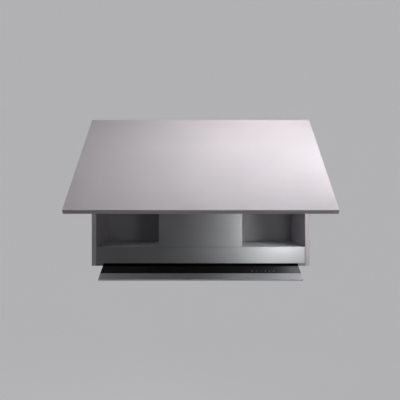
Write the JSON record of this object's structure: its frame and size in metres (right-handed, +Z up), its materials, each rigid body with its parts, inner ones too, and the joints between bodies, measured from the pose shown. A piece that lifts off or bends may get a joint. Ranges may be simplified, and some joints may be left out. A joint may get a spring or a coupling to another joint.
{
  "type": "built-in range hood",
  "caption": "Stainless range hood with a blower tower and a pull-out black glass visor, built into a wall unit with a lift-up flap on gas struts.",
  "frame": {"origin": "on the wall face of the unit, at the middle of its bottom edge", "axes": "+X to the viewer's right, +Y towards the wall, +Z up"},
  "size_m": [0.9, 0.8228, 0.6492],
  "materials": {
    "carcass_board": "satin",
    "flap_board": "satin",
    "back_board": "matte",
    "rail_wood": "matte",
    "zinc_steel": "satin",
    "screw_steel": "satin",
    "stainless_front": "satin",
    "stainless_body": "satin",
    "bumper_rubber": "matte",
    "mount_rubber": "matte",
    "strut_black": "gloss",
    "strut_chrome": "polished",
    "filter_aluminium": "satin",
    "impeller_aluminium": "satin",
    "light_body": "matte",
    "lens_glass": "gloss",
    "scroll_plastic": "matte",
    "motor_paint": "satin",
    "capacitor_plastic": "gloss",
    "collar_plastic": "matte",
    "box_plastic": "matte",
    "circuit_board": "satin",
    "terminal_plastic": "matte",
    "gland_plastic": "matte",
    "visor_glass": "gloss",
    "strip_aluminium": "satin",
    "mark_ink": "matte"
  },
  "bodies": {
    "housing": {"side_panel_left": "carcass_board", "side_panel_right": "carcass_board", "top_panel": "carcass_board", "back_panel": "back_board", "wall_rail": "rail_wood", "wall_hangers": "zinc_steel", "panel_screws": "screw_steel", "hinge_arms": "zinc_steel", "strut_brackets": "zinc_steel", "canopy_casing": "stainless_body", "fascia": "stainless_front", "front_top_cover": "stainless_front", "rear_top_cover": "stainless_front", "cheek_left": "stainless_body", "cheek_right": "stainless_body", "visor_deck": "stainless_body", "intake_frame": "stainless_body", "light_housing": "light_body", "light_lens": "lens_glass", "hood_screws": "screw_steel", "tower_shell": "stainless_body", "tower_front": "stainless_front", "scroll_left": "scroll_plastic", "scroll_right": "scroll_plastic", "motor": "motor_paint", "motor_bracket": "zinc_steel", "motor_mounts": "mount_rubber", "capacitor": "capacitor_plastic", "outlet_spigot": "collar_plastic", "control_box": "box_plastic", "control_cover": "box_plastic", "control_board": "circuit_board", "terminal_block": "terminal_plastic", "cable_gland": "gland_plastic", "runner_outers": "zinc_steel"},
    "flap": {"flap_panel": "flap_board", "hinge_boxes": "zinc_steel", "hinge_pins": "screw_steel", "flap_studs": "zinc_steel", "flap_bumpers": "bumper_rubber"},
    "strut_cylinder_left": {"strut_cylinder_left": "strut_black"},
    "strut_cylinder_right": {"strut_cylinder_right": "strut_black"},
    "strut_rod_left": {"strut_rod_left": "strut_chrome"},
    "strut_rod_right": {"strut_rod_right": "strut_chrome"},
    "visor": {"visor_tray": "stainless_body", "visor_glass": "visor_glass", "visor_strip": "strip_aluminium", "touch_board": "circuit_board", "touch_marks": "mark_ink", "runner_inners": "zinc_steel"},
    "runner_middle_left": {"runner_middle_left": "zinc_steel"},
    "runner_middle_right": {"runner_middle_right": "zinc_steel"},
    "impeller": {"impeller": "impeller_aluminium", "motor_shaft": "strut_chrome"},
    "damper_leaf_front": {"damper_leaf_front": "collar_plastic"},
    "damper_leaf_rear": {"damper_leaf_rear": "collar_plastic"},
    "filter_left": {"filter_frame_left": "filter_aluminium", "filter_baffles_left": "filter_aluminium"},
    "filter_right": {"filter_frame_right": "filter_aluminium", "filter_baffles_right": "filter_aluminium"}
  },
  "joints": [
    {"name": "flap_hinge", "type": "hinge", "parent": "housing", "child": "flap", "pos_m": [0, -0.352, 0.5935], "axis": [-1, 0, 0], "range_deg": [-52.5, 22.5]},
    {"name": "strut_cylinder_left_pivot", "type": "hinge", "parent": "housing", "child": "strut_cylinder_left", "pos_m": [-0.419, -0.1705, 0.55766], "axis": [-1, 0, 0], "range_deg": [-26.25, 11.25]},
    {"name": "strut_rod_left_pivot", "type": "hinge", "parent": "flap", "child": "strut_rod_left", "pos_m": [-0.419, -0.48434, 0.46422], "axis": [-1, 0, 0], "range_deg": [-11.25, 26.25]},
    {"name": "strut_cylinder_right_pivot", "type": "hinge", "parent": "housing", "child": "strut_cylinder_right", "pos_m": [0.419, -0.1705, 0.55766], "axis": [-1, 0, 0], "range_deg": [-26.25, 11.25]},
    {"name": "strut_rod_right_pivot", "type": "hinge", "parent": "flap", "child": "strut_rod_right", "pos_m": [0.419, -0.48434, 0.46422], "axis": [-1, 0, 0], "range_deg": [-11.25, 26.25]},
    {"name": "visor_slide", "type": "slide", "parent": "housing", "child": "visor", "axis": [0, -0.9336, -0.3584], "range_m": [-0.11, 0]},
    {"name": "runner_middle_left_slide", "type": "slide", "parent": "housing", "child": "runner_middle_left", "axis": [0, -0.9336, -0.3584], "range_m": [-0.055, 0]},
    {"name": "runner_middle_right_slide", "type": "slide", "parent": "housing", "child": "runner_middle_right", "axis": [0, -0.9336, -0.3584], "range_m": [-0.055, 0]},
    {"name": "impeller_spin", "type": "hinge", "parent": "housing", "child": "impeller", "pos_m": [0, -0.218, 0.214], "axis": [1, 0, 0], "continuous": true},
    {"name": "damper_front_hinge", "type": "hinge", "parent": "housing", "child": "damper_leaf_front", "pos_m": [0, -0.152, 0.416], "axis": [-1, 0, 0], "range_deg": [0, 80]},
    {"name": "damper_rear_hinge", "type": "hinge", "parent": "housing", "child": "damper_leaf_rear", "pos_m": [0, -0.144, 0.416], "axis": [1, 0, 0], "range_deg": [0, 80]},
    {"name": "filter_left_hinge", "type": "hinge", "parent": "housing", "child": "filter_left", "pos_m": [0, -0.0545, 0.0051], "axis": [1, 0, 0], "range_deg": [0, 80]},
    {"name": "filter_right_hinge", "type": "hinge", "parent": "housing", "child": "filter_right", "pos_m": [0, -0.0545, 0.0051], "axis": [1, 0, 0], "range_deg": [0, 80]}
  ],
  "couplings": [
    {"joint": "strut_cylinder_left_pivot", "follows": "flap_hinge", "ratio": 0.5},
    {"joint": "strut_rod_left_pivot", "follows": "flap_hinge", "ratio": -0.5},
    {"joint": "strut_cylinder_right_pivot", "follows": "flap_hinge", "ratio": 0.5},
    {"joint": "strut_rod_right_pivot", "follows": "flap_hinge", "ratio": -0.5},
    {"joint": "runner_middle_left_slide", "follows": "visor_slide", "ratio": 0.5},
    {"joint": "runner_middle_right_slide", "follows": "visor_slide", "ratio": 0.5}
  ]
}
